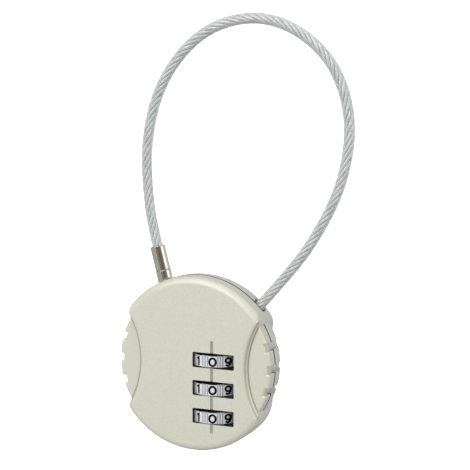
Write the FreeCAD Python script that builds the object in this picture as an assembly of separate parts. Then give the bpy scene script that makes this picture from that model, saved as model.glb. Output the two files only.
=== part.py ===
import FreeCAD, Part
import math
import os

os.makedirs("parts", exist_ok=True)

V = FreeCAD.Vector

# ---------------------------------------------------------------- dimensions
# All in millimetres. X to the right, +Z up towards the cable loop, front face
# towards -Y. Origin at the centre of the round body, at half its thickness.
BODY_R = 22.5            # outer radius of the round body
THICK = 15.0             # front face to back face
Y_FRONT = -THICK / 2
Y_BACK = THICK / 2
SPLIT_DEPTH = 5.0        # front face to the parting plane
Y_SPLIT = Y_FRONT + SPLIT_DEPTH
FRONT_EDGE_R = 1.7       # rolled edge of the front casing
BACK_EDGE_R = 8.5        # large domed edge of the back casing
PART_GAP = 0.50          # visible parting line
PART_GAP_R = 19.4        # the parting line is open outside this radius

GRIP_R = 20.9            # outer radius of the two side grips
GRIP_DROP = 1.3          # grips lie this far below the raised face
GRIP_EDGE_R = 0.45
GRIP_BACK_R = 6.7
ARC_CX = 37.6            # centre of the concave arcs of the raised face
ARC_R_TOP = 23.2
ARC_R_FOOT = 22.62
ARC_EDGE_R = 1.1         # rounding of the front face along the arcs
CORNER_R = 4.0           # rounding, seen from the front, where an arc meets the rim
CORNER_BACK_R = 6.0      # the same on the back casing
NOTCH_ANGLES = (16.1, 0.0, -16.1)
NOTCH_W = 1.95
NOTCH_FLOOR_R = 20.0     # of the front casing
NOTCH_FLOOR_BACK_R = 19.5
NOTCH_CORNER_R = 0.32

# dial stack
DIAL_X = 4.2
AXIS_Y = -0.95           # plane of the dial axis, the plug and the cable
DIAL_R = 6.5
DIAL_H = 3.1
DIAL_PITCH = 7.265
DIAL_Z0 = -0.30          # underside of the upper dial
DIAL_PLAY = (0.0, -0.12, -0.11)   # each dial rests at its own height in its pocket
DIAL_TURN = 13.0         # the figure at the index line sits this far round, towards +X
WIN_X = (0.19, 11.62)
WIN_H = 3.9
WIN_Z0 = -0.45           # lower edge of the upper window
WIN_CORNER_R = 0.35
DIAL_BORE_R = 3.55
DIAL_FREE_R = 4.05
SPLINE_OUT_R = 3.95
SPLINE_W = 1.1
SPLINE_H = 1.5
FLUTE_R = 0.3            # three fine flutes between each two figures
FLUTE_AT = 6.62
FLUTE_STEP = 6.0
POCKET_R = 6.75
INDEX_X = 5.5
INDEX_Z = (-17.5, 6.65)
INDEX_R = 0.45           # round-bottomed index groove
INDEX_OUT = 0.1          # its axis lies this far in front of the face

SLEEVE_R = 3.4
SLEEVE_CUP_R = 2.75
SLEEVE_BORE_R = 1.65
SLEEVE_LOW = -1.9        # from the dial's underside
SLEEVE_TOP = 5.2
SLEEVE_FLANGE = 1.5
RIB_R = 3.85
RIB_W = 0.9
RIB_Z = (0.1, 1.3)
GATE_W = 1.4
GATE_R = 2.7
CHANNEL_R = 3.6

SPINDLE_R = 1.5
FIN_R = 2.55
FIN_W = 1.0
FIN_Z = (2.3, 3.5)
SPINDLE_LOW = -17.4

RESET_TRAVEL = 1.5
BTN_TIP_R = 1.6
BTN_R = 3.3
BTN_LOW = -21.2
BTN_SHOULDER = -19.4
BTN_TOP = -16.9

# latch
BOLT_Z = 13.0
WEDGE = 0.722            # rise of the wedge per mm of bolt travel
BOLT_TRAVEL = 1.95
PLUG_TRAVEL = 13.0

# plug: where its axis meets the rim, and its outward direction
PLUG_P0 = (-10.32, 19.95)
PLUG_TILT = 14.78        # degrees from vertical, leaning to -X
PIN_R = 1.5
PIN_BORE_R = 1.56
COLLAR_R = 1.98
COLLAR_OUT = 2.85        # collar stands this far outside the rim
COLLAR_IN = 0.9
SOCKET_R = 2.1
FERRULE_R = 1.92
FERRULE_TOP = 9.2
GROOVE_R = 0.8

# cable
CABLE_R = 1.4            # clear sheath over the wire rope
ROPE_R = 1.0
ROPE_BORE = 1.04
# route of the cable's centre line in the plane y = AXIS_Y: (x, z)
ROUTE = [
    (-11.24, 23.43),
    (-13.25, 31.07),
    (-15.15, 40.04),
    (-15.99, 55.93),
    (-11.40, 72.17),
    (0.84, 85.27),
    (18.09, 88.33),
    (33.48, 79.38),
    (39.80, 64.32),
    (37.87, 47.57),
    (29.83, 31.94),
    (20.62, 20.57),
    (11.71, 10.69),
]
ANCHOR_R = 2.1
ANCHOR_LEN = 4.6


# ---------------------------------------------------------------- helpers
def cyl(r, length, at, axis):
    return Part.makeCylinder(r, length, V(*at), V(*axis))


def box(x0, x1, y0, y1, z0, z1):
    return Part.makeBox(x1 - x0, y1 - y0, z1 - z0, V(x0, y0, z0))


def zcyl(r, z0, z1, x=DIAL_X, y=AXIS_Y):
    return Part.makeCylinder(r, z1 - z0, V(x, y, z0), V(0, 0, 1))


def turned(shape, deg, centre=(DIAL_X, AXIS_Y, 0), axis=(0, 0, 1)):
    s = shape.copy()
    s.rotate(V(*centre), V(*axis), deg)
    return s


def fillet(shape, r, pick, label):
    edges = [e for e in shape.Edges if pick(e)]
    for rr in (r, r * 0.8, r * 0.6):
        try:
            out = shape.makeFillet(rr, edges)
            if out.isValid() and out.Volume > 0:
                return out
        except Exception:
            pass
    print("fillet left out:", label, len(edges))
    return shape


def lsolid(shape):
    """the one solid inside a boolean result"""
    shape = shape.removeSplitter() if hasattr(shape, "removeSplitter") else shape
    if len(shape.Solids) == 1:
        return shape.Solids[0]
    return shape


OUT = {}


def keep(name, shape):
    shape = lsolid(shape)
    if not shape.isValid():
        print("not valid:", name)
    OUT[name] = shape
    bb = shape.BoundBox
    print("%-22s solids %d vol %9.2f  x %.2f..%.2f y %.2f..%.2f z %.2f..%.2f" % (
        name, len(shape.Solids), shape.Volume,
        bb.XMin, bb.XMax, bb.YMin, bb.YMax, bb.ZMin, bb.ZMax))
    shape.exportStep("parts/%s.step" % name)


# plug frame: distance s is measured inwards from the rim along the plug axis
_t = math.radians(PLUG_TILT)
P_OUT = V(-math.sin(_t), 0, math.cos(_t))
P_IN = V(math.sin(_t), 0, -math.cos(_t))


def plug_at(s):
    return V(PLUG_P0[0], AXIS_Y, PLUG_P0[1]) + P_IN * s


def plug_cyl(r, s0, s1):
    return Part.makeCylinder(r, s1 - s0, plug_at(s0), P_IN)


def plug_cone(r0, r1, s0, s1):
    return Part.makeCone(r0, r1, s1 - s0, plug_at(s0), P_IN)


# cable frame at the fixed end: the last run of the route
_a = V(ROUTE[-2][0], AXIS_Y, ROUTE[-2][1])
_b = V(ROUTE[-1][0], AXIS_Y, ROUTE[-1][1])
C_IN = (_b - _a).normalize()


# ---------------------------------------------------------------- outer forms
def notch_tools(y0, y1, floor_r):
    tools = []
    for side in (1, -1):
        for ang in NOTCH_ANGLES:
            b = box(floor_r, 26.0, y0, y1, -NOTCH_W / 2, NOTCH_W / 2)
            b.rotate(V(0, 0, 0), V(0, 1, 0), -ang)
            if side < 0:
                b.rotate(V(0, 0, 0), V(0, 1, 0), 180)
            tools.append(b)
    return tools


def edge_at(e, r, tol=0.02):
    return all(abs(math.hypot(v.X, v.Z) - r) < tol for v in e.Vertexes)


def along_y(e):
    if len(e.Vertexes) != 2:
        return False
    a, b = e.Vertexes
    return abs(a.X - b.X) < 1e-4 and abs(a.Z - b.Z) < 1e-4 and abs(a.Y - b.Y) > 0.5


def grip_disc(y_face, y_split, edge_r, label):
    lo, hi = min(y_face, y_split), max(y_face, y_split)
    d = cyl(GRIP_R, hi - lo, (0, lo, 0), (0, 1, 0))
    if edge_r > 2:
        d = fillet(d, edge_r, lambda e: abs(e.BoundBox.YMin - y_face) < 1e-4 and abs(e.BoundBox.YMax - y_face) < 1e-4, label)
        d = d.cut(notch_tools(lo - 1, hi + 1, NOTCH_FLOOR_BACK_R))
        return d
    d = d.cut(notch_tools(lo - 1, hi + 1, NOTCH_FLOOR_R))
    d = fillet(d, NOTCH_CORNER_R, lambda e: along_y(e) and edge_at(e, GRIP_R), label + " notch corners")
    d = fillet(d, edge_r, lambda e: abs(e.BoundBox.YMin - y_face) < 1e-4 and abs(e.BoundBox.YMax - y_face) < 1e-4, label + " front edge")
    return d


def corner_tools(rc):
    """round off, in plan, the four corners where the arcs meet the rim"""
    qx = (ARC_CX ** 2 + (BODY_R - rc) ** 2 - (ARC_R_FOOT + rc) ** 2) / (2 * ARC_CX)
    qz = math.sqrt((BODY_R - rc) ** 2 - qx ** 2)
    a_rim = math.degrees(math.atan2(qz, qx))
    a_arc = math.degrees(math.atan2(-qz, ARC_CX - qx))
    a0, a1 = a_arc + 1.0, a_rim - 1.0
    tools = []
    for sx in (1, -1):
        for sz in (1, -1):
            q = V(sx * qx, -THICK, sz * qz)

            def at(deg, r):
                t = math.radians(deg)
                return q + V(sx * r * math.cos(t), 0, sz * r * math.sin(t))
            mid = (a0 + a1) / 2
            e = [Part.Arc(at(a0, rc), at(mid, rc), at(a1, rc)).toShape(),
                 Part.makeLine(at(a1, rc), at(a1, rc + 4)),
                 Part.makeLine(at(a1, rc + 4), at(a0, rc + 4)),
                 Part.makeLine(at(a0, rc + 4), at(a0, rc))]
            tools.append(Part.Face(Part.Wire(e)).extrude(V(0, 2 * THICK, 0)))
    return tools


def arc_edge_tool(side):
    """concave ring that rounds the edge between the raised face and an arc wall"""
    f = ARC_EDGE_R
    run, drop = ARC_R_TOP - ARC_R_FOOT, GRIP_DROP
    n = math.hypot(run, drop)
    wr, wy = -drop / n, -run / n                 # outward normal of the wall
    rc = ARC_R_TOP + f * (1 + wy) / -wr
    yc = Y_FRONT + f

    def at(r, y):
        return V(side * ARC_CX + r, y, 0)
    a, b = at(rc, Y_FRONT), at(rc + f * wr, yc + f * wy)
    t = (math.atan2(wy, wr) % (2 * math.pi) + 1.5 * math.pi) / 2
    mid = at(rc + f * math.cos(t), yc + f * math.sin(t))
    # carried past the wall, along it and beyond the face
    c = at(rc + f * wr - 0.4, yc + f * wy - 0.15)
    d = at(rc + f * wr - 0.4, Y_FRONT - 0.5)
    g = at(rc, Y_FRONT - 0.5)
    w = Part.Wire([Part.Arc(a, mid, b).toShape(), Part.makeLine(b, c), Part.makeLine(c, d),
                   Part.makeLine(d, g), Part.makeLine(g, a)])
    return Part.Face(w).revolve(V(side * ARC_CX, 0, 0), V(0, 1, 0), 360)


def core_disc(y_face, y_split, edge_r, label):
    lo, hi = min(y_face, y_split), max(y_face, y_split)
    d = cyl(BODY_R, hi - lo, (0, lo, 0), (0, 1, 0))
    d = fillet(d, edge_r, lambda e: abs(e.BoundBox.YMin - y_face) < 1e-4 and abs(e.BoundBox.YMax - y_face) < 1e-4, label)
    step = GRIP_DROP if y_face < y_split else -GRIP_DROP
    for side in (1, -1):
        c = V(side * ARC_CX, y_face, 0)
        dirn = V(0, 1 if step > 0 else -1, 0)
        # a little beyond the face so the cut is clean
        over = 0.6
        slope = (ARC_R_TOP - ARC_R_FOOT) / GRIP_DROP
        cone = Part.makeCone(ARC_R_TOP + slope * over, ARC_R_FOOT, GRIP_DROP + over, c - dirn * over, dirn)
        rest = Part.makeCylinder(ARC_R_FOOT, THICK, V(side * ARC_CX, y_face + step, 0), dirn)
        d = d.cut(cone).cut(rest)
    return d.cut(corner_tools(CORNER_R if y_face < y_split else CORNER_BACK_R))


front = core_disc(Y_FRONT, Y_SPLIT, FRONT_EDGE_R, "front rim").fuse(
    grip_disc(Y_FRONT + GRIP_DROP, Y_SPLIT, GRIP_EDGE_R, "front grips")).removeSplitter()
back = core_disc(Y_BACK, Y_SPLIT, BACK_EDGE_R, "back rim").fuse(
    grip_disc(Y_BACK - GRIP_DROP, Y_SPLIT, GRIP_BACK_R, "back grips")).removeSplitter()


front = front.cut([arc_edge_tool(side) for side in (1, -1)])

# ---------------------------------------------------------------- hollows
hollow = []
for k in range(3):
    z0 = WIN_Z0 - k * DIAL_PITCH
    hollow.append(zcyl(POCKET_R, z0, z0 + WIN_H))
# channel for the code sleeves and the reset button
hollow.append(zcyl(CHANNEL_R, BTN_SHOULDER - 0.1, DIAL_Z0 + SLEEVE_TOP + RESET_TRAVEL + 1.65))
# hole for the tip of the reset button, through the rim
hollow.append(zcyl(BTN_TIP_R + 0.15, -24.0, -19.0))
# spindle through the ledge
hollow.append(zcyl(SPINDLE_R + 0.2, 6.0, 11.0))
# room for the latch bolt, its fork and the spindle head
hollow.append(box(-9.0, DIAL_X - 2.0, AXIS_Y - 1.65, AXIS_Y + 1.65, BOLT_Z - 0.85, BOLT_Z + 0.85))
hollow.append(box(DIAL_X - 4.6, DIAL_X + 3.4, AXIS_Y - 2.7, AXIS_Y + 2.7, 10.85, 14.4))
hollow.append(box(DIAL_X - 1.9, DIAL_X + 1.9, AXIS_Y - 2.7, AXIS_Y + 2.7, 12.0, 16.6))
hollow.append(zcyl(2.15, 14.0, 18.5))
# leaf spring slot beside the dials
hollow.append(turned(box(DIAL_X + 6.0, DIAL_X + 7.35, AXIS_Y - 1.75, AXIS_Y + 1.75, -14.98, 3.45), DIAL_TURN))
# lightening pocket in the left half, clear of the casing pins
PIN_POSTS = [(-12.6, 5.6), (-1.2, 17.2), (15.6, 5.4), (-6.6, -16.2)]
POST_R = 2.5
pocket = cyl(18.0, 7.6, (0, -4.7, 0), (0, 1, 0)).common(
    box(-19, -3.6, -5, 5, -18.5, 2.4))
for px, pz in PIN_POSTS:
    pocket = pocket.cut(cyl(POST_R, 20, (px, -10, pz), (0, 1, 0)))
hollow.append(pocket)
# socket for the plug: pin bore, and a seat for the collar open to the parting plane
hollow.append(plug_cyl(PIN_BORE_R, -3.0, 13.1))
seat = plug_cyl(SOCKET_R, -4.0, COLLAR_IN + 0.1)
slot = box(-SOCKET_R, SOCKET_R, Y_SPLIT, AXIS_Y, -(COLLAR_IN + 0.1), 4.0)
slot.rotate(V(0, 0, 0), V(0, 1, 0), -PLUG_TILT)
slot.translate(V(PLUG_P0[0], 0, PLUG_P0[1]))
# cable way: a slot open to the parting plane, and a pocket for the anchor ferrule
E0 = V(15.93, AXIS_Y, 15.37)      # cable centre where it crosses the rim
cable_hole = Part.makeCylinder(CABLE_R + 0.2, 12.0, E0 - C_IN * 6.0, C_IN)
# the mouth of the cable hole is a little wider and reaches into the front casing
SIDE = V(C_IN.z, 0, -C_IN.x)
cable_mouth = Part.makeCylinder(1.9, 7.4, E0 - C_IN * 6.0 + SIDE * 0.1 - V(0, 0.1, 0), C_IN)
anchor_s = 2.0
anchor_pocket = Part.makeCylinder(ANCHOR_R + 0.08, ANCHOR_LEN + 0.2, E0 + C_IN * anchor_s, C_IN)


def along_cable(w, s0, s1):
    """a bar of width w from the cable plane to the parting plane"""
    b = box(-w / 2, w / 2, Y_SPLIT, AXIS_Y, s0, s1)
    ang = math.degrees(math.atan2(C_IN.x, C_IN.z))
    b.rotate(V(0, 0, 0), V(0, 1, 0), ang)
    b.translate(V(E0.x, 0, E0.z))
    return b


# casing pins, press fitted blind in both casings
PIN_Y = (-5.4, 3.4)
CASING_PIN_R = 1.1
pin_holes = [cyl(CASING_PIN_R, PIN_Y[1] - PIN_Y[0], (px, PIN_Y[0], pz), (0, 1, 0)) for px, pz in PIN_POSTS]

tools = hollow + [seat, slot, cable_hole, cable_mouth, anchor_pocket,
                  along_cable(2 * CABLE_R + 0.3, -6.0, 4.0),
                  along_cable(2 * ANCHOR_R + 0.16, anchor_s, anchor_s + ANCHOR_LEN + 0.2)] + pin_holes

# windows and index groove
for k in range(3):
    z0 = WIN_Z0 - k * DIAL_PITCH
    w = box(WIN_X[0], WIN_X[1], Y_FRONT - 1, Y_FRONT + 4.3, z0, z0 + WIN_H)
    w = fillet(w, WIN_CORNER_R, along_y, "window corners")
    front = front.cut(w)
gz0, gz1 = INDEX_Z[0] + INDEX_R, INDEX_Z[1] - INDEX_R
g = Part.makeCylinder(INDEX_R, gz1 - gz0, V(INDEX_X, Y_FRONT - INDEX_OUT, gz0), V(0, 0, 1))
g = g.fuse([Part.makeSphere(INDEX_R, V(INDEX_X, Y_FRONT - INDEX_OUT, z)) for z in (gz0, gz1)])
front = front.cut(g)

ring = cyl(30, PART_GAP, (0, Y_SPLIT - PART_GAP, 0), (0, 1, 0)).cut(cyl(PART_GAP_R, 2, (0, Y_SPLIT - 1, 0), (0, 1, 0)))
front = front.cut(tools).cut(ring)
back = back.cut(tools)
keep("front_casing", front)
keep("back_casing", back)

pins = []
for px, pz in PIN_POSTS:
    p = cyl(CASING_PIN_R, PIN_Y[1] - PIN_Y[0], (px, PIN_Y[0], pz), (0, 1, 0))
    pins.append(p.makeChamfer(0.25, [e for e in p.Edges if hasattr(e.Curve, "Radius")]))
OUT["casing_pins"] = Part.makeCompound(pins)
OUT["casing_pins"].exportStep("parts/casing_pins.step")
print("casing_pins solids", len(OUT["casing_pins"].Solids))

# ---------------------------------------------------------------- dials, sleeves
NAMES = ("upper", "middle", "lower")
for k, nm in enumerate(NAMES):
    z0 = DIAL_Z0 - k * DIAL_PITCH + DIAL_PLAY[k]
    d = zcyl(DIAL_R, z0, z0 + DIAL_H)
    d = d.makeChamfer(0.15, [e for e in d.Edges if hasattr(e.Curve, "Radius") and e.Closed])
    cuts = [zcyl(DIAL_BORE_R, z0 - 1, z0 + DIAL_H + 1), zcyl(DIAL_FREE_R, z0 + SPLINE_H, z0 + DIAL_H + 1)]
    for i in range(10):
        gr = box(DIAL_X, DIAL_X + SPLINE_OUT_R, AXIS_Y - SPLINE_W / 2, AXIS_Y + SPLINE_W / 2, z0 - 1, z0 + SPLINE_H + 0.2)
        cuts.append(turned(gr, 36 * i))
        # figures sit DIAL_TURN, DIAL_TURN + 36 ... degrees from the front; flutes lie midway
        for q in (-1, 0, 1):
            fl = Part.makeCylinder(FLUTE_R, DIAL_H + 2, V(DIAL_X + FLUTE_AT, AXIS_Y, z0 - 1), V(0, 0, 1))
            cuts.append(turned(fl, DIAL_TURN + 36 * i + FLUTE_STEP * q))
    d = d.cut(cuts)
    keep("number_dial_" + nm, d)

    z0 = DIAL_Z0 - k * DIAL_PITCH
    lo, hi = z0 + SLEEVE_LOW, z0 + SLEEVE_TOP
    s = zcyl(SLEEVE_R, lo, hi)
    ribs = []
    for i in range(10):
        rb = box(DIAL_X + 2.9, DIAL_X + RIB_R, AXIS_Y - RIB_W / 2, AXIS_Y + RIB_W / 2, z0 + RIB_Z[0], z0 + RIB_Z[1])
        ribs.append(turned(rb, 36 * i))
    s = s.fuse(ribs)
    s = s.cut([zcyl(SLEEVE_CUP_R, lo - 1, hi - SLEEVE_FLANGE), zcyl(SLEEVE_BORE_R, lo - 1, hi + 1)])
    # gate towards the front at rest, and a relief a quarter turn from it
    gate = box(DIAL_X - GATE_W / 2, DIAL_X + GATE_W / 2, AXIS_Y - GATE_R, AXIS_Y, hi - SLEEVE_FLANGE - 0.5, hi + 1)
    s = s.cut([gate, turned(gate, -90)])
    keep("code_sleeve_" + nm, s)

# ---------------------------------------------------------------- spindle
sp = zcyl(SPINDLE_R, SPINDLE_LOW, 9.3).fuse(zcyl(1.2, 9.0, 15.0)).fuse(zcyl(0.85, 14.5, 16.0))
sp = sp.makeChamfer(0.3, [e for e in sp.Edges if hasattr(e.Curve, "Radius") and e.Closed and abs(e.BoundBox.ZMin - SPINDLE_LOW) < 1e-4])
for k in range(3):
    z0 = DIAL_Z0 - k * DIAL_PITCH
    sp = sp.fuse(box(DIAL_X - FIN_W / 2, DIAL_X + FIN_W / 2, AXIS_Y - FIN_R, AXIS_Y, z0 + FIN_Z[0], z0 + FIN_Z[1]))


def xz_prism(points, y0, y1):
    w = Part.makePolygon([V(x, y0, z) for x, z in points + points[:1]])
    return Part.Face(w).extrude(V(0, y1 - y0, 0))


hx = 1.7
head = xz_prism([
    (DIAL_X - hx, BOLT_Z + 0.1 + WEDGE * hx), (DIAL_X + hx, BOLT_Z + 0.1 - WEDGE * hx),
    (DIAL_X + hx, 15.0), (DIAL_X - hx, 15.0)], AXIS_Y - 2.5, AXIS_Y + 2.5)
sp = sp.fuse(head)
keep("spindle", sp)

# ---------------------------------------------------------------- latch bolt
nose_x = PLUG_P0[0] + (PLUG_P0[1] - BOLT_Z) * math.tan(_t) + 1.1
bar = box(nose_x + 1.2, DIAL_X - 3.5, AXIS_Y - 1.5, AXIS_Y + 1.5, BOLT_Z - 0.7, BOLT_Z + 0.7)
nose = xz_prism([(nose_x, BOLT_Z - 0.5), (nose_x + 1.3, BOLT_Z - 0.5), (nose_x + 1.3, BOLT_Z + 0.5), (nose_x, BOLT_Z + 0.5)],
                AXIS_Y - 0.7, AXIS_Y + 0.7)
yoke = box(DIAL_X - 4.45, DIAL_X - 3.35, AXIS_Y - 2.5, AXIS_Y + 2.5, 11.0, 14.2)
fx = 1.3
tl = -(14.2 - BOLT_Z) / WEDGE
prong = [(DIAL_X - 3.5, 11.0), (DIAL_X + fx, 11.0), (DIAL_X + fx, BOLT_Z - WEDGE * fx),
         (DIAL_X + tl, 14.2), (DIAL_X - 3.5, 14.2)]
bolt = bar.fuse([nose, yoke,
                 xz_prism(prong, AXIS_Y - 2.5, AXIS_Y - 1.4),
                 xz_prism(prong, AXIS_Y + 1.4, AXIS_Y + 2.5)])
keep("latch_bolt", bolt)


# ---------------------------------------------------------------- springs
def coil(r_mid, wire, z0, z1, turns, x=DIAL_X, y=AXIS_Y):
    pitch = (z1 - z0 - 2 * wire) / turns
    helix = Part.makeHelix(pitch, z1 - z0 - 2 * wire, r_mid)
    prof = Part.Wire(Part.makeCircle(wire, V(r_mid, 0, 0), V(0, 1, 0)))
    sh = Part.Wire(helix).makePipeShell([prof], True, True)
    sh.translate(V(x, y, z0 + wire))
    return sh


keep("spindle_spring", coil(1.45, 0.2, 15.05, 18.4, 5))


def disc_stack(r_in, r_out, wall, z0, z1, discs, x=DIAL_X, y=AXIS_Y):
    """disc springs stacked edge to edge, as one folded ring"""
    rise = (z1 - z0) / discs
    inner = [(r_in if i % 2 else r_out - wall, z0 + i * rise) for i in range(discs + 1)]
    pts = inner + [(r + wall, z) for r, z in reversed(inner)]
    w = Part.makePolygon([V(x + r, y, z) for r, z in pts + pts[:1]])
    return Part.Face(w).revolve(V(x, y, 0), V(0, 0, 1), 360)


keep("reset_spring", disc_stack(2.3, 3.2, 0.4, DIAL_Z0 + SLEEVE_TOP + 0.03, DIAL_Z0 + SLEEVE_TOP + RESET_TRAVEL + 1.62, 4))

# leaf comb: one strip with a ridge for each dial
LEAF_X = DIAL_X + DIAL_R + 0.12
leaf = box(LEAF_X + 0.33, LEAF_X + 0.58, AXIS_Y - 1.55, AXIS_Y + 1.55, -14.85, 3.35)
for k in range(3):
    z0 = DIAL_Z0 - k * DIAL_PITCH + DIAL_PLAY[k]
    leaf = leaf.fuse(Part.makeCylinder(0.2, DIAL_H - 0.6, V(LEAF_X, AXIS_Y, z0 + 0.3), V(0, 0, 1)))
    leaf = leaf.fuse(box(LEAF_X, LEAF_X + 0.4, AXIS_Y - 0.2, AXIS_Y + 0.2, z0 + 0.3, z0 + DIAL_H - 0.3))
for k in range(2):
    z0 = DIAL_Z0 - k * DIAL_PITCH
    zc = z0 - (DIAL_PITCH - DIAL_H) / 2
    leaf = leaf.cut(box(LEAF_X - 0.3, LEAF_X + 1.0, AXIS_Y - 1.6, AXIS_Y + 0.9, zc - 0.35, zc + 0.35))
keep("detent_spring", turned(leaf, DIAL_TURN))

# ---------------------------------------------------------------- reset button
btn = zcyl(BTN_R, BTN_SHOULDER, BTN_TOP).fuse(zcyl(BTN_TIP_R, BTN_LOW, BTN_SHOULDER + 0.5))
btn = fillet(btn, 0.25, lambda e: hasattr(e.Curve, "Radius") and e.Closed and abs(e.BoundBox.ZMin - BTN_LOW) < 1e-4, "button tip")
btn = btn.cut(zcyl(SPINDLE_R + 0.12, -19.2, BTN_TOP + 1))
keep("reset_button", btn)

# ---------------------------------------------------------------- plug
lp = plug_cyl(COLLAR_R, -COLLAR_OUT, COLLAR_IN)
lp = fillet(lp, 0.2, lambda e: hasattr(e.Curve, "Radius") and e.Closed, "collar")
lp = lp.fuse([
    plug_cyl(PIN_R, 0.0, 6.55),
    plug_cyl(GROOVE_R, 6.0, 8.4),
    plug_cone(GROOVE_R, 1.3, 8.15, 12.0),
    plug_cone(1.3, 0.8, 12.0, 12.8)])
keep("locking_pin", lp)
fe = plug_cyl(FERRULE_R, -FERRULE_TOP, -COLLAR_OUT)
fe = fillet(fe, 0.18, lambda e: hasattr(e.Curve, "Radius") and e.Closed, "ferrule ends")
fe = fe.cut([plug_cyl(CABLE_R + 0.03, -FERRULE_TOP - 1, -COLLAR_OUT - 0.7),
             plug_cone(CABLE_R + 0.14, CABLE_R + 0.03, -FERRULE_TOP - 0.01, -FERRULE_TOP + 1.6)])
fe = fe.cut(plug_cyl(ROPE_BORE, -COLLAR_OUT - 1.2, -COLLAR_OUT - 0.4))
keep("plug_ferrule", fe)


# ---------------------------------------------------------------- cable
def rounded(points):
    """straight runs joined by tangent arcs; returns the wire, its length and radii"""
    P = [V(x, AXIS_Y, z) for x, z in points]
    edges, radii = [], []
    start = P[0]
    length = 0.0
    for i in range(1, len(P) - 1):
        a, b, c = P[i - 1], P[i], P[i + 1]
        u = (a - b)
        w = (c - b)
        short = min(u.Length, w.Length)
        lu, lw = u.normalize(), w.normalize()
        turn = math.pi - lu.getAngle(lw)
        t = 0.45 * short
        r = t / math.tan(turn / 2)
        p1, p2 = b + lu * t, b + lw * t
        bis = (lu + lw).normalize()
        centre = b + bis * (r / math.cos(turn / 2))
        mid = centre - bis * r
        edges.append(Part.LineSegment(start, p1).toShape())
        edges.append(Part.Arc(p1, mid, p2).toShape())
        length += (p1 - start).Length + r * turn
        start = p2
        radii.append(r)
    edges.append(Part.LineSegment(start, P[-1]).toShape())
    length += (P[-1] - start).Length
    return Part.Wire(edges), length, radii


path, cable_len, radii = rounded(ROUTE)
print("cable length %.1f mm; arc radii mm:" % cable_len, " ".join("%.1f" % r for r in radii))
runs = [math.hypot(ROUTE[i + 1][0] - ROUTE[i][0], ROUTE[i + 1][1] - ROUTE[i][1]) for i in range(len(ROUTE) - 1)]
print("runs mm:", " ".join("%.1f" % r for r in runs))


def tube(wire, r):
    e = wire.Edges[0]
    d = e.tangentAt(e.FirstParameter)
    prof = Part.Wire(Part.makeCircle(r, e.valueAt(e.FirstParameter), d))
    return wire.makePipeShell([prof], True, False)


outer = tube(path, CABLE_R)
inner = tube(path, ROPE_BORE)
rope = tube(path, ROPE_R)
sheath = outer.cut(inner)
print("tube volume %.2f against section times length %.2f" % (outer.Volume, math.pi * CABLE_R ** 2 * cable_len))
keep("cable_sheath", sheath)
keep("wire_rope", rope)
af = Part.makeCylinder(ANCHOR_R, ANCHOR_LEN, E0 + C_IN * (anchor_s + 0.1), C_IN)
af = fillet(af, 0.25, lambda e: hasattr(e.Curve, "Radius") and e.Closed, "anchor ends")
af = af.cut(Part.makeCylinder(CABLE_R, 10.0, E0 - C_IN * 3.0, C_IN))
keep("anchor_ferrule", af)
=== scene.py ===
import bpy
import bmesh
import math
import numpy as np
from mathutils import Vector, Matrix


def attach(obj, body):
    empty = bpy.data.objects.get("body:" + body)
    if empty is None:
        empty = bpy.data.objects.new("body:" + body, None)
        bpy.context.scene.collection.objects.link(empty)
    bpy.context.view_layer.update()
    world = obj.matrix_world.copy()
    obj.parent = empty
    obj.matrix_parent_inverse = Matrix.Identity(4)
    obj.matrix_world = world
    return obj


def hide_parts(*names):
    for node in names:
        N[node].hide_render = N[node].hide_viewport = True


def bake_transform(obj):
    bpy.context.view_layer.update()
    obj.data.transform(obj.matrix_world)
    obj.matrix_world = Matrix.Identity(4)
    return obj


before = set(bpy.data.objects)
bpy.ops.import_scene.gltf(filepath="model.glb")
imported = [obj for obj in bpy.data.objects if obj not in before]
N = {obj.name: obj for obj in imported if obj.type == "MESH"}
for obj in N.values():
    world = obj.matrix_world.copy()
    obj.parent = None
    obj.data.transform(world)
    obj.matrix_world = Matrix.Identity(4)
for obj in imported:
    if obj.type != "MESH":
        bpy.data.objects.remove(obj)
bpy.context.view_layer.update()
MM = 0.001

# dimensions repeated from the CAD source, in millimetres
AXIS_Y = -0.95
Y_FRONT = -7.5
DIAL_X = 4.2
DIAL_R = 6.5
DIAL_H = 3.1
DIAL_LOW = (-0.30, -7.685, -14.94)
DIAL_TURN = 13.0
INDEX_X = 5.5
CABLE_R = 1.4
ROUTE = [
    (-11.24, 23.43), (-13.25, 31.07), (-15.15, 40.04), (-15.99, 55.93),
    (-11.40, 72.17), (0.84, 85.27), (18.09, 88.33), (33.48, 79.38),
    (39.80, 64.32), (37.87, 47.57), (29.83, 31.94), (20.62, 20.57),
    (11.71, 10.69),
]

scene = bpy.context.scene
coll = scene.collection


# ------------------------------------------------------------------ camera
F_PX = 3.945             # picture points per millimetre at the body's face
DIST = 1600.0
CX, CY = 191.7, 365.0
AZ, EL, ROLL = math.radians(22.95), math.radians(8.12), math.radians(-0.21)
b = Vector((math.sin(AZ) * math.cos(EL), -math.cos(AZ) * math.cos(EL), math.sin(EL)))
r = Vector((math.cos(AZ), math.sin(AZ), 0))
u = b.cross(r)
right = r * math.cos(ROLL) - u * math.sin(ROLL)
up = r * math.sin(ROLL) + u * math.cos(ROLL)
s = MM / F_PX
P0 = Vector((0, Y_FRONT * MM, 0))
loc = P0 - right * (CX - 235) * s + up * (CY - 235) * s + b * DIST * s
cam_data = bpy.data.cameras.new("camera")
cam_data.sensor_width = 36.0
cam_data.lens = 36.0 * DIST / 470.0
cam_data.clip_start = 0.01
cam_data.clip_end = 10
cam = bpy.data.objects.new("camera", cam_data)
coll.objects.link(cam)
rot = Matrix((right, up, b)).transposed()
cam.matrix_world = Matrix.Translation(loc) @ rot.to_4x4()
scene.camera = cam


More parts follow.
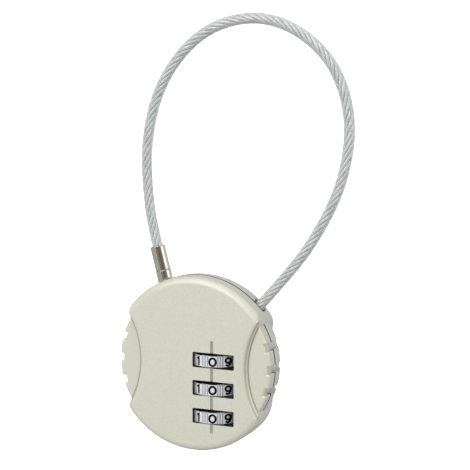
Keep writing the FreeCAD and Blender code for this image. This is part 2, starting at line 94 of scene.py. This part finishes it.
# ------------------------------------------------------------------ material helpers
class Mat:
    def __init__(self, name):
        self.m = bpy.data.materials.new(name)
        self.m.use_nodes = True
        self.t = self.m.node_tree
        self.t.nodes.clear()
        self.out = self.t.nodes.new("ShaderNodeOutputMaterial")
        self.p = self.t.nodes.new("ShaderNodeBsdfPrincipled")
        self.t.links.new(self.p.outputs[0], self.out.inputs[0])

    def n(self, kind, **kw):
        nd = self.t.nodes.new(kind)
        for k, v in kw.items():
            if k in nd.inputs.keys():
                nd.inputs[k].default_value = v
            else:
                setattr(nd, k, v)
        return nd

    def link(self, a, b):
        self.t.links.new(a, b)

    def set(self, **kw):
        for k, v in kw.items():
            self.p.inputs[k.replace("_", " ")].default_value = v

    def coords(self):
        return self.n("ShaderNodeTexCoord").outputs["Object"]

    def math(self, op, a, b=None, clamp=False):
        nd = self.n("ShaderNodeMath", operation=op, use_clamp=clamp)
        for i, v in enumerate((a, b)):
            if v is None:
                continue
            if isinstance(v, (int, float)):
                nd.inputs[i].default_value = v
            else:
                self.link(v, nd.inputs[i])
        return nd.outputs[0]

    def noise(self, vec, scale, detail=3.0, rough=0.5):
        nd = self.n("ShaderNodeTexNoise")
        nd.inputs["Scale"].default_value = scale
        nd.inputs["Detail"].default_value = detail
        nd.inputs["Roughness"].default_value = rough
        self.link(vec, nd.inputs["Vector"])
        return nd.outputs["Fac"]

    def ramp(self, fac, stops):
        nd = self.n("ShaderNodeValToRGB")
        el = nd.color_ramp.elements
        while len(el) > 1:
            el.remove(el[-1])
        el[0].position = stops[0][0]
        el[0].color = (*stops[0][1], 1)
        for pos, col in stops[1:]:
            e = el.new(pos)
            e.color = (*col, 1)
        self.link(fac, nd.inputs[0])
        return nd.outputs[0]

    def mix(self, fac, a, b):
        nd = self.n("ShaderNodeMix", data_type="RGBA")
        self.link(fac, nd.inputs[0]) if not isinstance(fac, (int, float)) else setattr(nd.inputs[0], "default_value", fac)
        for i, v in ((6, a), (7, b)):
            if isinstance(v, tuple):
                nd.inputs[i].default_value = (*v, 1)
            else:
                self.link(v, nd.inputs[i])
        return nd.outputs[2]

    def bump(self, height, strength, distance):
        nd = self.n("ShaderNodeBump")
        nd.inputs["Strength"].default_value = strength
        nd.inputs["Distance"].default_value = distance
        self.link(height, nd.inputs["Height"])
        self.link(nd.outputs[0], self.p.inputs["Normal"])
        return nd


def srgb(*c):
    return tuple(((x / 255.0) / 12.92 if x / 255.0 <= 0.04045 else ((x / 255.0 + 0.055) / 1.055) ** 2.4) for x in c)


def casing_material(name, lo, hi):
    m = Mat(name)
    co = m.coords()
    fine = m.noise(co, 2600.0, 2.0, 0.6)
    broad = m.noise(co, 55.0, 2.0, 0.5)
    base = m.mix(broad, srgb(*lo), srgb(*hi))
    flake = m.ramp(fine, [(0.35, srgb(*(v - 9 for v in lo))), (0.62, srgb(*(v + 8 for v in hi)))])
    col = m.mix(0.3, base, flake)
    sep = m.n("ShaderNodeSeparateXYZ")
    m.link(co, sep.inputs[0])
    x, y, z = sep.outputs[0], sep.outputs[1], sep.outputs[2]

    def inside(v, lo, hi):
        return m.math("MULTIPLY", m.math("GREATER_THAN", v, lo * MM), m.math("LESS_THAN", v, hi * MM))

    # painted shade in the index groove, darker with depth
    off_index = m.math("ABSOLUTE", m.math("SUBTRACT", x, INDEX_X * MM))
    groove_shade = m.math("MULTIPLY", m.math("LESS_THAN", off_index, 0.47 * MM), m.math("MULTIPLY", m.math("LESS_THAN", y, -7.1 * MM), inside(z, -17.6, 6.8)))
    depth = m.n("ShaderNodeMapRange", interpolation_type="SMOOTHSTEP")
    depth.inputs["From Min"].default_value = -7.5 * MM
    depth.inputs["From Max"].default_value = -7.22 * MM
    m.link(y, depth.inputs["Value"])
    col = m.mix(m.math("MULTIPLY", groove_shade, depth.outputs["Result"]), col, srgb(168, 170, 156))
    # painted shade along the foot and the bend of the arc walls
    dx = m.math("SUBTRACT", m.math("ABSOLUTE", x), 37.6 * MM)
    arc_r = m.math("SQRT", m.math("ADD", m.math("MULTIPLY", dx, dx), m.math("MULTIPLY", z, z)))

    def band(v, mid, half):
        nd = m.n("ShaderNodeMapRange", interpolation_type="SMOOTHSTEP")
        nd.inputs["From Min"].default_value = half * MM
        nd.inputs["From Max"].default_value = half * 0.35 * MM
        m.link(m.math("ABSOLUTE", m.math("SUBTRACT", v, mid * MM)), nd.inputs["Value"])
        return nd.outputs["Result"]

    on_front = inside(y, -7.49, -6.12)
    painted_crease_shade = m.math("MULTIPLY", on_front, m.math("MAXIMUM", m.math("MULTIPLY", band(arc_r, 22.60, 0.22), 0.75), m.math("MULTIPLY", band(arc_r, 23.12, 0.30), 0.55)))
    col = m.mix(painted_crease_shade, col, srgb(140, 142, 126))
    # painted shade: near-black inside the body, where no light reaches, and on the window walls
    rad = m.math("SQRT", m.math("ADD", m.math("MULTIPLY", x, x), m.math("MULTIPLY", z, z)))
    deep = m.math("MULTIPLY", inside(y, -7.1, 5.6), m.math("LESS_THAN", m.math("ABSOLUTE", x), 13.4 * MM))
    deep = m.math("MULTIPLY", deep, m.math("LESS_THAN", rad, 18.9 * MM))
    walls = m.math("MULTIPLY", inside(y, -7.4, -7.05), m.math("MULTIPLY", inside(x, 0.1, 11.7), inside(z, -16.0, 4.5)))
    walls = m.math("MULTIPLY", walls, m.math("GREATER_THAN", off_index, 0.47 * MM))
    dark = m.math("MAXIMUM", deep, walls)
    # painted shade: the parting gap behind the rim is painted near-black too
    gap = inside(y, -3.01, -2.494)
    dark = m.math("MAXIMUM", dark, gap)
    # the painted shade inside the body, on the window walls and in the parting gap
    col = m.mix(dark, col, srgb(14, 15, 13))
    m.link(col, m.p.inputs["Base Color"])
    rough = m.math("ADD", m.math("MULTIPLY", fine, 0.10), 0.30)
    m.link(rough, m.p.inputs["Roughness"])
    m.link(m.math("MULTIPLY", m.math("SUBTRACT", 1.0, dark), 0.30), m.p.inputs["Metallic"])
    m.bump(m.noise(co, 1400.0, 3.0, 0.55), 0.10, 0.00003)
    return m.m


def metal(name, rgb, rough, scale=900.0, bump=0.1, stretch=(1, 1, 1), metallic=1.0, dark=0.86):
    m = Mat(name)
    mp = m.n("ShaderNodeMapping")
    mp.inputs["Scale"].default_value = stretch
    m.link(m.coords(), mp.inputs[0])
    co = mp.outputs[0]
    f = m.noise(co, scale, 3.0, 0.55)
    g = m.noise(co, scale * 0.13, 2.0, 0.5)
    c0 = tuple(v * dark for v in srgb(*rgb))
    m.link(m.mix(g, c0, srgb(*rgb)), m.p.inputs["Base Color"])
    m.link(m.math("ADD", m.math("MULTIPLY", f, rough * 0.5), rough * 0.75), m.p.inputs["Roughness"])
    m.set(Metallic=metallic)
    m.bump(f, bump, 0.00002)
    return m.m


M_CASE = casing_material("pearl_nickel_satin", (211, 211, 196), (215, 215, 200))
M_BACK = casing_material("pearl_nickel_satin_back", (207, 208, 202), (211, 212, 206))
m = Mat("dial_silver")
co = m.coords()
sep = m.n("ShaderNodeSeparateXYZ")
m.link(co, sep.inputs[0])
ex = m.math("SUBTRACT", sep.outputs[0], DIAL_X * MM)
ey = m.math("SUBTRACT", sep.outputs[1], AXIS_Y * MM)
rr = m.math("SQRT", m.math("ADD", m.math("MULTIPLY", ex, ex), m.math("MULTIPLY", ey, ey)))
# painted shade: the flute valleys are dark below radius 6.30 mm, blending to the body's colour at 6.42 mm
flute_shade = m.n("ShaderNodeMapRange", interpolation_type="SMOOTHSTEP")
flute_shade.inputs["From Min"].default_value = 6.30 * MM
flute_shade.inputs["From Max"].default_value = 6.42 * MM
m.link(rr, flute_shade.inputs["Value"])
mp = m.n("ShaderNodeMapping")
mp.inputs["Scale"].default_value = (1, 1, 0.08)
m.link(co, mp.inputs[0])
f = m.noise(mp.outputs[0], 1500.0, 3.0, 0.55)
body = m.mix(f, srgb(218, 222, 224), srgb(237, 241, 243))
col = m.mix(flute_shade.outputs["Result"], srgb(152, 156, 158), body)
# painted shade: the ends of the wheel lie in the dark of the body and are painted near-black
nsep = m.n("ShaderNodeSeparateXYZ")
m.link(m.n("ShaderNodeTexCoord").outputs["Normal"], nsep.inputs[0])
m.link(m.mix(m.math("GREATER_THAN", m.math("ABSOLUTE", nsep.outputs[2]), 0.5), col, srgb(18, 19, 20)), m.p.inputs["Base Color"])
m.link(m.math("ADD", m.math("MULTIPLY", f, 0.20), 0.30), m.p.inputs["Roughness"])
m.set(Metallic=0.30)
m.bump(f, 0.12, 0.00002)
M_DIAL = m.m
M_BRASS = metal("turned_brass", (190, 160, 95), 0.3, 900, 0.1, (1, 1, 6))
M_STEEL = metal("ground_steel", (165, 166, 164), 0.32, 900, 0.12)
M_SPRING = metal("spring_steel", (140, 142, 145), 0.28, 900, 0.1)
M_NICKEL = metal("bright_nickel", (219, 213, 198), 0.15, 700, 0.06, (1, 1, 0.2), 1.0, 0.92)
m = Mat("rope_wire")
at = m.n("ShaderNodeAttribute", attribute_name="rise")
f = m.noise(m.coords(), 2500.0, 2.0, 0.5)
g = m.noise(m.coords(), 700.0, 2.0, 0.6)
wire = m.ramp(m.math("ADD", m.math("MULTIPLY", f, 0.5), m.math("MULTIPLY", g, 0.5)), [(0.38, srgb(150, 153, 152)), (0.56, srgb(238, 241, 240))])
# painted shade between the strands: dark where a point lies deep near the cable's axis, light on the strands' crowns
col = m.ramp(at.outputs["Fac"], [(0.0, srgb(52, 54, 54)), (0.45, srgb(150, 153, 152)), (0.8, srgb(214, 218, 216)), (1.0, srgb(228, 232, 230))])
m.link(m.mix(0.42, col, wire), m.p.inputs["Base Color"])
m.link(m.math("ADD", m.math("MULTIPLY", f, 0.12), 0.24), m.p.inputs["Roughness"])
m.set(Metallic=0.45)
m.bump(f, 0.08, 0.00002)
M_ROPE = m.m

m = Mat("digit_enamel")
f = m.noise(m.coords(), 1800.0, 2.0, 0.5)
m.link(m.mix(f, srgb(4, 5, 5), srgb(10, 11, 11)), m.p.inputs["Base Color"])
m.link(m.math("ADD", m.math("MULTIPLY", f, 0.15), 0.55), m.p.inputs["Roughness"])
m.p.inputs["Specular IOR Level"].default_value = 0.2
m.bump(f, 0.1, 0.00001)
M_DIGIT = m.m


def assign(obj, mat):
    obj.data.materials.clear()
    obj.data.materials.append(mat)
    for p in obj.data.polygons:
        p.material_index = 0


for node, mat in {
    "front_casing": M_CASE, "back_casing": M_BACK, "casing_pins": M_STEEL,
    "number_dial_upper": M_DIAL, "number_dial_middle": M_DIAL, "number_dial_lower": M_DIAL,
    "code_sleeve_upper": M_BRASS, "code_sleeve_middle": M_BRASS, "code_sleeve_lower": M_BRASS,
    "spindle": M_STEEL, "spindle_spring": M_SPRING, "reset_spring": M_SPRING, "reset_button": M_STEEL,
    "latch_bolt": M_STEEL, "detent_spring": M_SPRING, "locking_pin": M_NICKEL, "plug_ferrule": M_NICKEL,
    "anchor_ferrule": M_NICKEL,
}.items():
    assign(N[node], mat)


# ------------------------------------------------------------------ cable
def route_curve(name):
    cu = bpy.data.curves.new(name, "CURVE")
    cu.dimensions = "3D"
    sp = cu.splines.new("NURBS")
    sp.points.add(len(ROUTE) - 1)
    for p, (x, z) in zip(sp.points, ROUTE):
        p.co = (x * MM, AXIS_Y * MM, z * MM, 1)
    sp.order_u = 3
    sp.use_endpoint_u = True
    sp.resolution_u = 60
    ob = bpy.data.objects.new(name, cu)
    coll.objects.link(ob)
    bpy.context.view_layer.update()
    me = bpy.data.meshes.new_from_object(ob)
    pts = np.array([v.co for v in me.vertices])
    bpy.data.objects.remove(ob)
    bpy.data.curves.remove(cu)
    bpy.data.meshes.remove(me)
    return pts


LINE = route_curve("cable_route")
seg = np.linalg.norm(np.diff(LINE, axis=0), axis=1)
ARC = np.concatenate([[0], np.cumsum(seg)])
LENGTH = float(ARC[-1])
STEP = 0.25 * MM
NS = int(round(LENGTH / STEP)) + 1
S = np.linspace(0, LENGTH, NS)
CP = np.stack([np.interp(S, ARC, LINE[:, i]) for i in range(3)], 1)
TA = np.gradient(CP, axis=0)
TA /= np.linalg.norm(TA, axis=1)[:, None]
NB = np.tile(np.array([[0.0, 1.0, 0.0]]), (NS, 1))          # the cable lies in a plane
NA = np.cross(NB, TA)


def ring_mesh(name, rings, closed_ends=True, smooth=True):
    """rings: (n, k, 3) closed cross-sections joined along the first axis"""
    n, k, _ = rings.shape
    verts = rings.reshape(-1, 3).tolist()
    faces = []
    for i in range(n - 1):
        a, c = i * k, (i + 1) * k
        for j in range(k):
            j2 = (j + 1) % k
            faces.append((a + j, a + j2, c + j2, c + j))
    if closed_ends:
        faces.append(tuple(range(k - 1, -1, -1)))
        faces.append(tuple((n - 1) * k + j for j in range(k)))
    me = bpy.data.meshes.new(name)
    me.from_pydata(verts, [], faces)
    me.validate()
    if smooth:
        me.polygons.foreach_set("use_smooth", [True] * len(me.polygons))
    ob = bpy.data.objects.new(name, me)
    coll.objects.link(ob)
    return ob


def tube_rings(radius, k, centre=CP):
    th = np.linspace(0, 2 * math.pi, k, endpoint=False)
    return (centre[:, None, :] + radius * (np.cos(th)[None, :, None] * NA[:, None, :] + np.sin(th)[None, :, None] * NB[:, None, :]))


LAY = 13.0 * MM           # one turn of a strand
N_STRAND = 6
R_STRAND = 0.44 * MM      # one strand
R_LAY = 0.85 * MM         # its distance from the cable's axis
WIRES = 6


def strand(i):
    ph = 2 * math.pi * i / N_STRAND + 2 * math.pi * S / LAY
    cdir = np.cos(ph)[:, None] * NA + np.sin(ph)[:, None] * NB
    cen = CP + R_LAY * cdir
    t = np.gradient(cen, axis=0)
    t /= np.linalg.norm(t, axis=1)[:, None]
    e1 = cdir - (cdir * t).sum(1)[:, None] * t
    e1 /= np.linalg.norm(e1, axis=1)[:, None]
    e2 = np.cross(t, e1)
    k = WIRES * 4
    th = np.linspace(0, 2 * math.pi, k, endpoint=False)
    # lobes of the fine wires, twisted the other way round the strand
    tw = -2 * math.pi * S / (4.6 * MM)
    rad = R_STRAND * (1.0 - 0.09 + 0.09 * np.abs(np.cos(WIRES / 2 * (th[None, :] + tw[:, None]))) * 1.0)
    rings = cen[:, None, :] + rad[:, :, None] * (np.cos(th)[None, :, None] * e1[:, None, :] + np.sin(th)[None, :, None] * e2[:, None, :])
    return rings


strands = []
for i in range(N_STRAND):
    strands.append(ring_mesh("strand_%d" % i, strand(i)))
core = ring_mesh("rope_core", tube_rings(0.55 * MM, 12))
for o in strands + [core]:
    assign(o, M_ROPE)
bpy.context.view_layer.update()
with bpy.context.temp_override(active_object=strands[0], selected_editable_objects=strands + [core], object=strands[0]):
    bpy.ops.object.join()
rope = strands[0]
rope.name = "rope_strands"
pts = np.zeros(len(rope.data.vertices) * 3, np.float32)
rope.data.vertices.foreach_get("co", pts)
pts = pts.reshape(-1, 3)
i_near = np.concatenate([np.tile(np.repeat(np.arange(NS), WIRES * 4), N_STRAND), np.repeat(np.arange(NS), 12)])
# distance of each point from the cable's axis, for the rope's painted shade between the strands
d_axis = np.linalg.norm(pts - CP[i_near], axis=1)
att = rope.data.attributes.new("rise", "FLOAT", "POINT")
att.data.foreach_set("value", np.clip((d_axis / MM - 0.78) / 0.42, 0, 1).astype(np.float32))
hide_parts("wire_rope")

sheath = ring_mesh("clear_sheath", tube_rings(CABLE_R * MM, 28))
m = Mat("clear_pvc")
f = m.noise(m.coords(), 260.0, 2.0, 0.5)
m.link(m.mix(f, srgb(196, 200, 199), srgb(210, 214, 213)), m.p.inputs["Base Color"])
m.set(Roughness=0.20)
m.p.inputs["IOR"].default_value = 1.5
edge = m.n("ShaderNodeLayerWeight")
edge.inputs["Blend"].default_value = 0.35
m.link(m.math("ADD", m.math("MULTIPLY", edge.outputs["Facing"], 0.62), 0.16, clamp=True), m.p.inputs["Alpha"])
m.bump(m.noise(m.coords(), 500.0, 2.0, 0.5), 0.05, 0.00003)
assign(sheath, m.m)
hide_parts("cable_sheath")

for o in (rope, sheath):
    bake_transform(o)


# ------------------------------------------------------------------ digits
def arc(cx, cy, rx, ry, a0, a1, n=28):
    t = np.radians(np.linspace(a0, a1, n))
    return [(cx + rx * math.cos(v), cy + ry * math.sin(v)) for v in t]


# centre lines of the figures, in millimetres, about the middle of the figure
W, H = 0.83, 0.97
GLYPHS = {
    0: [(arc(0, 0, W, H, 0, 360, 44), True)],
    1: [([(-0.26, 0.72), (0.12, 0.95), (0.12, -0.95)], False)],
    2: [(arc(0, 0.40, 0.72, 0.57, 160, -30, 20) + [(-0.74, -0.95), (0.80, -0.95)], False)],
    3: [(arc(0, 0.47, 0.62, 0.50, 150, -80, 20), False), (arc(0, -0.43, 0.72, 0.54, 85, -150, 22), False)],
    4: [([(0.42, -0.97), (0.42, 0.97), (-0.76, -0.42), (0.82, -0.42)], False)],
    5: [([(0.66, 0.95), (-0.52, 0.95), (-0.62, 0.12)] + arc(-0.02, -0.36, 0.72, 0.61, 130, -140, 22), False)],
    6: [(arc(0, -0.38, 0.72, 0.59, 0, 360, 36), True), (arc(0.42, -0.22, 1.14, 1.22, 172, 108, 14), False)],
    7: [([(-0.74, 0.95), (0.76, 0.95), (-0.16, -0.97)], False)],
    8: [(arc(0, 0.48, 0.60, 0.49, 0, 360, 34), True), (arc(0, -0.45, 0.72, 0.53, 0, 360, 36), True)],
    9: [(arc(0, 0.36, 0.74, 0.61, 0, 360, 38), True), (arc(-0.10, 0.22, 0.84, 1.19, 6, -118, 20), False)],
}
STROKE = 0.55


def ribbon(points, closed, width):
    """outline of a stroke with round ends, as stations of left and right points"""
    P = np.array(points, float)
    if closed:
        P = P[:-1] if np.allclose(P[0], P[-1]) else P
        nxt, prv = np.roll(P, -1, 0), np.roll(P, 1, 0)
    else:
        # more points on long straight runs, so the stroke bends round the dial
        out = [P[0]]
        for a, c in zip(P[:-1], P[1:]):
            n = max(1, int(np.linalg.norm(c - a) / 0.12))
            out += [a + (c - a) * (i + 1) / n for i in range(n)]
        P = np.array(out)
        nxt = np.vstack([P[1:], 2 * P[-1] - P[-2]])
        prv = np.vstack([2 * P[0] - P[1], P[:-1]])
    d1 = P - prv
    d2 = nxt - P
    d1 /= np.linalg.norm(d1, axis=1)[:, None]
    d2 /= np.linalg.norm(d2, axis=1)[:, None]
    t = d1 + d2
    t /= np.linalg.norm(t, axis=1)[:, None]
    nrm = np.stack([-t[:, 1], t[:, 0]], 1)
    cosh = np.clip((d1 * t).sum(1), 0.55, 1)
    w = (width / 2) / cosh
    L, R = P + nrm * w[:, None], P - nrm * w[:, None]
    if not closed:
        # round the ends
        ends = []
        for sgn, p, tt in ((-1, P[0], t[0]), (1, P[-1], t[-1])):
            nn = np.array([-tt[1], tt[0]])
            a = np.radians(np.array([30, 60, 82]))
            e = [(p + sgn * tt * math.sin(v) * width / 2 + nn * math.cos(v) * width / 2,
                  p + sgn * tt * math.sin(v) * width / 2 - nn * math.cos(v) * width / 2) for v in a]
            ends.append(e)
        L = np.vstack([[e[0] for e in ends[0][::-1]], L, [e[0] for e in ends[1]]])
        R = np.vstack([[e[1] for e in ends[0][::-1]], R, [e[1] for e in ends[1]]])
    return L, R


def digits_for(name, z_mid):
    verts, faces = [], []
    for dig, strokes in GLYPHS.items():
        # digit 0 faces -Y; the next digit comes in from the left as the dial turns
        a0 = DIAL_TURN - 36.0 * dig
        for pts, closed in strokes:
            L, R = ribbon(pts, closed, STROKE)
            n = len(L)
            base = len(verts)
            for i in range(n):
                for (px, pz), rad in ((L[i], DIAL_R - 0.06), (L[i], DIAL_R + 0.018), (R[i], DIAL_R + 0.018), (R[i], DIAL_R - 0.06)):
                    ang = math.radians(-90 + a0) + px / DIAL_R
                    verts.append(((DIAL_X + rad * math.cos(ang)) * MM, (AXIS_Y + rad * math.sin(ang)) * MM, (z_mid + pz) * MM))
            last = n if closed else n - 1
            for i in range(last):
                a, c = base + 4 * i, base + 4 * ((i + 1) % n)
                for j in range(4):
                    j2 = (j + 1) % 4
                    faces.append((a + j, c + j, c + j2, a + j2))
            if not closed:
                faces.append((base, base + 1, base + 2, base + 3))
                e = base + 4 * (n - 1)
                faces.append((e + 3, e + 2, e + 1, e))
    me = bpy.data.meshes.new(name)
    me.from_pydata(verts, [], faces)
    me.validate()
    bm = bmesh.new()
    bm.from_mesh(me)
    bmesh.ops.recalc_face_normals(bm, faces=bm.faces)
    bm.to_mesh(me)
    bm.free()
    ob = bpy.data.objects.new(name, me)
    coll.objects.link(ob)
    assign(ob, M_DIGIT)
    return ob


for k, nm in enumerate(("upper", "middle", "lower")):
    zm = DIAL_LOW[k] + DIAL_H / 2 - (0.08, 0.0, 0.12)[k]
    d = digits_for("digits_" + nm, zm)
    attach(d, "dial_" + nm)


# ------------------------------------------------------------------ stage and light
def studio(name, z_floor, half, height, rr, n=9):
    """a closed white cove: flat floor, rounded into the walls and the ceiling"""
    bm = bmesh.new()
    bmesh.ops.create_cube(bm, size=2.0)
    for v in bm.verts:
        v.co = Vector((v.co.x * half, v.co.y * half, z_floor + (v.co.z + 1) * height / 2))
    bmesh.ops.bevel(bm, geom=bm.edges[:], offset=rr, segments=n, affect="EDGES", profile=0.5)
    bmesh.ops.reverse_faces(bm, faces=bm.faces)
    me = bpy.data.meshes.new(name)
    bm.to_mesh(me)
    bm.free()
    me.polygons.foreach_set("use_smooth", [True] * len(me.polygons))
    ob = bpy.data.objects.new(name, me)
    coll.objects.link(ob)
    return ob


floor = studio("studio_floor", -0.045, 1.6, 2.4, 0.4)
m = Mat("paper_white")
f = m.noise(m.coords(), 3.0, 2.0, 0.5)
m.link(m.mix(f, (0.93, 0.93, 0.93), (0.95, 0.95, 0.95)), m.p.inputs["Base Color"])
m.set(Roughness=0.9)
m.p.inputs["Emission Color"].default_value = (1, 1, 1, 1)
m.p.inputs["Emission Strength"].default_value = 0.85
floor.data.materials.append(m.m)
floor.visible_diffuse = False
floor.visible_glossy = False
floor.visible_shadow = False

world = bpy.data.worlds.new("studio")
scene.world = world
world.use_nodes = True
wt = world.node_tree
wt.nodes.clear()


def wn(kind, **kw):
    nd = wt.nodes.new(kind)
    for k, v in kw.items():
        setattr(nd, k, v)
    return nd


def wmath(op, a, b=None, clamp=False):
    nd = wn("ShaderNodeMath", operation=op, use_clamp=clamp)
    for i, v in enumerate((a, b)):
        if v is None:
            continue
        if isinstance(v, (int, float)):
            nd.inputs[i].default_value = v
        else:
            wt.links.new(v, nd.inputs[i])
    return nd.outputs[0]


def toward(az, el):
    """a direction: azimuth from -Y towards +X, and elevation, in degrees"""
    a, e = math.radians(az), math.radians(el)
    return (math.sin(a) * math.cos(e), -math.cos(a) * math.cos(e), math.sin(e))


wout = wn("ShaderNodeOutputWorld")
bg = wn("ShaderNodeBackground")
wt.links.new(bg.outputs[0], wout.inputs[0])
tc = wn("ShaderNodeTexCoord")


def lobe(az, el, inner, outer):
    """1 inside a cone of half angle inner degrees round a direction, 0 outside outer"""
    dot = wn("ShaderNodeVectorMath", operation="DOT_PRODUCT")
    wt.links.new(tc.outputs["Generated"], dot.inputs[0])
    dot.inputs[1].default_value = toward(az, el)
    mr = wn("ShaderNodeMapRange", interpolation_type="SMOOTHSTEP")
    mr.inputs["From Min"].default_value = math.cos(math.radians(outer))
    mr.inputs["From Max"].default_value = math.cos(math.radians(inner))
    wt.links.new(dot.outputs["Value"], mr.inputs["Value"])
    return mr.outputs["Result"]


# a dim room with large soft boxes: in front to the left, above, and a weak one to the right
level = 0.40
for az, el, i0, i1, gain in (
        (-14, 34, 12, 42, 1.0), (15, 84, 10, 50, 0.4),
        (91, 12, 8, 14, 1.8), (110, 0, 20, 60, 0.4), (-22, -8, 2, 7, 0.5), (-70, -16, 20, 42, 0.12),
        (22, -2, 36, 52, -0.22)):
    level = wmath("ADD", wmath("MULTIPLY", lobe(az, el, i0, i1), gain), level)
level = wmath("MAXIMUM", level, 0.01)
bg.inputs["Color"].default_value = (1, 1, 1, 1)
wt.links.new(level, bg.inputs["Strength"])


def area(name, loc, target, size, power, colour=(1, 1, 1), size_y=None):
    li = bpy.data.lights.new(name, "AREA")
    li.shape = "RECTANGLE" if size_y else "SQUARE"
    li.size = size
    if size_y:
        li.size_y = size_y
    li.energy = power
    li.color = colour
    ob = bpy.data.objects.new(name, li)
    coll.objects.link(ob)
    ob.location = loc
    ob.visible_glossy = False
    d = Vector(target) - Vector(loc)
    ob.rotation_euler = d.to_track_quat("-Z", "Y").to_euler()
    return ob


area("key_soft_box", (-0.14, -0.80, 0.34), (0, 0, 0.02), 0.40, 4.4)
area("fill_right", (0.62, -0.62, 0.25), (0, 0, 0.02), 0.40, 1.9)
area("fill_back", (-0.25, 0.85, 0.45), (0, 0, 0.02), 0.50, 3.2)

scene.view_settings.view_transform = "Standard"
scene.view_settings.look = "None"
scene.view_settings.exposure = 0.0
scene.view_settings.gamma = 1.0
